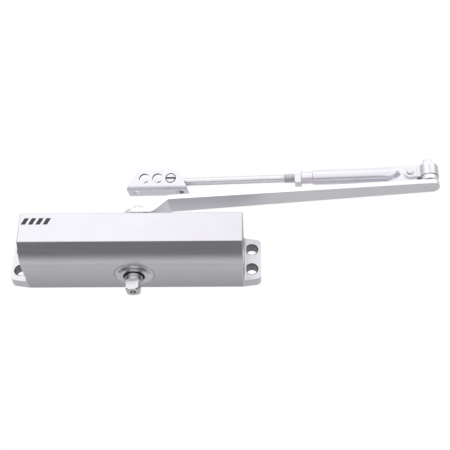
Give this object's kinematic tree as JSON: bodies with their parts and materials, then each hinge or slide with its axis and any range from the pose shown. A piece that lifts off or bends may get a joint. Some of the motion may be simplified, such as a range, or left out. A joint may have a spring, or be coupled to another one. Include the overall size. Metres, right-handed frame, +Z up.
{
  "type": "door closer",
  "caption": "Surface-mounted rack-and-pinion door closer with a folded, length-adjustable jointed arm and a channel shoe for the frame.",
  "frame": {"origin": "centre of the four door fixing holes, on the back face that lies on the door", "axes": "+Y into the door, +Z up along the spindle towards the arm, +X along the body towards the folded arm's elbow"},
  "size_m": [0.3604, 0.0628, 0.1177],
  "materials": {
    "body_paint": "satin silver lacquer over a brushed aluminium extrusion",
    "arm_paint": "satin silver lacquer on steel",
    "cap_metal": "turned aluminium",
    "zinc_steel": "bright zinc plating",
    "spindle_steel": "ground steel",
    "piston_steel": "machined steel",
    "spring_steel": "oiled spring steel",
    "bronze": "sintered bronze",
    "brass_valve": "turned brass",
    "seal_rubber": "matte nitrile rubber"
  },
  "bodies": {
    "root": {"housing": "body_paint", "spring_end_cap": "cap_metal", "valve_end_cap": "cap_metal", "end_cap_seals": "seal_rubber", "upper_pinion_nut": "zinc_steel", "lower_pinion_nut": "zinc_steel", "upper_bearing": "bronze", "lower_bearing": "bronze", "upper_shaft_seal": "seal_rubber", "lower_shaft_seal": "seal_rubber", "main_spring": "spring_steel"},
    "spindle": {"pinion_spindle": "spindle_steel", "main_arm": "arm_paint", "arm_washer": "zinc_steel", "arm_screw": "zinc_steel", "elbow_bush": "zinc_steel", "elbow_washer": "zinc_steel", "elbow_pin": "zinc_steel"},
    "piston": {"piston": "piston_steel", "check_ball": "spring_steel", "check_retainer": "zinc_steel"},
    "knuckle": {"knuckle_strap": "zinc_steel", "knuckle_rivet": "zinc_steel"},
    "forearm": {"forearm_tube": "arm_paint"},
    "lock_nut": {"lock_nut": "zinc_steel"},
    "rod": {"adjusting_rod": "zinc_steel"},
    "shoe": {"shoe_bracket": "arm_paint", "shoe_pivot": "zinc_steel", "shoe_spacers": "zinc_steel"},
    "closing_valve": {"closing_valve": "brass_valve", "closing_valve_ring": "seal_rubber"},
    "latching_valve": {"latching_valve": "brass_valve", "latching_valve_ring": "seal_rubber"}
  },
  "joints": [
    {"name": "spindle_turn", "type": "hinge", "parent": "root", "child": "spindle", "pos_m": [0.001, -0.026, 0], "axis": [0, 0, -1], "range_deg": [0, 170], "stiffness_Nm_per_rad": 4, "springref_deg": -68.75},
    {"name": "piston_travel", "type": "slide", "parent": "root", "child": "piston", "axis": [-1, 0, 0], "range_m": [0, 0.0286], "deforming": ["main_spring"]},
    {"name": "elbow_pivot", "type": "hinge", "parent": "spindle", "child": "knuckle", "pos_m": [0.2465, -0.05319, 0.05755], "axis": [0, 0, 1], "range_deg": [-170, 170]},
    {"name": "knuckle_tilt", "type": "hinge", "parent": "knuckle", "child": "forearm", "pos_m": [0.23139, -0.05152, 0.05755], "axis": [0.1101, 0.9939, 0], "range_deg": [-1, 12]},
    {"name": "rod_travel", "type": "slide", "parent": "forearm", "child": "lock_nut", "axis": [-0.9929, 0.11, 0.0454], "range_m": [0, 0.00374]},
    {"name": "rod_turn", "type": "hinge", "parent": "lock_nut", "child": "rod", "pos_m": [0.08246, -0.03502, 0.06435], "axis": [-0.9929, 0.11, 0.0454], "range_deg": [0, 1080]},
    {"name": "shoe_pivot", "type": "hinge", "parent": "rod", "child": "shoe", "pos_m": [0.02953, -0.02916, 0.06677], "axis": [0.1152, 0.984, 0.1356], "range_deg": [-8, 170]},
    {"name": "closing_valve_turn", "type": "hinge", "parent": "root", "child": "closing_valve", "pos_m": [0.09, -0.0545, 0.0056], "axis": [1, 0, 0], "range_deg": [-90, 360]},
    {"name": "latching_valve_turn", "type": "hinge", "parent": "root", "child": "latching_valve", "pos_m": [0.09, -0.0545, -0.0056], "axis": [1, 0, 0], "range_deg": [-90, 360]}
  ],
  "couplings": [
    {"joint": "piston_travel", "follows": "spindle_turn", "m_per_rad": 0.0096},
    {"joint": "rod_turn", "follows": "rod_travel", "rad_per_m": 5026.5}
  ]
}
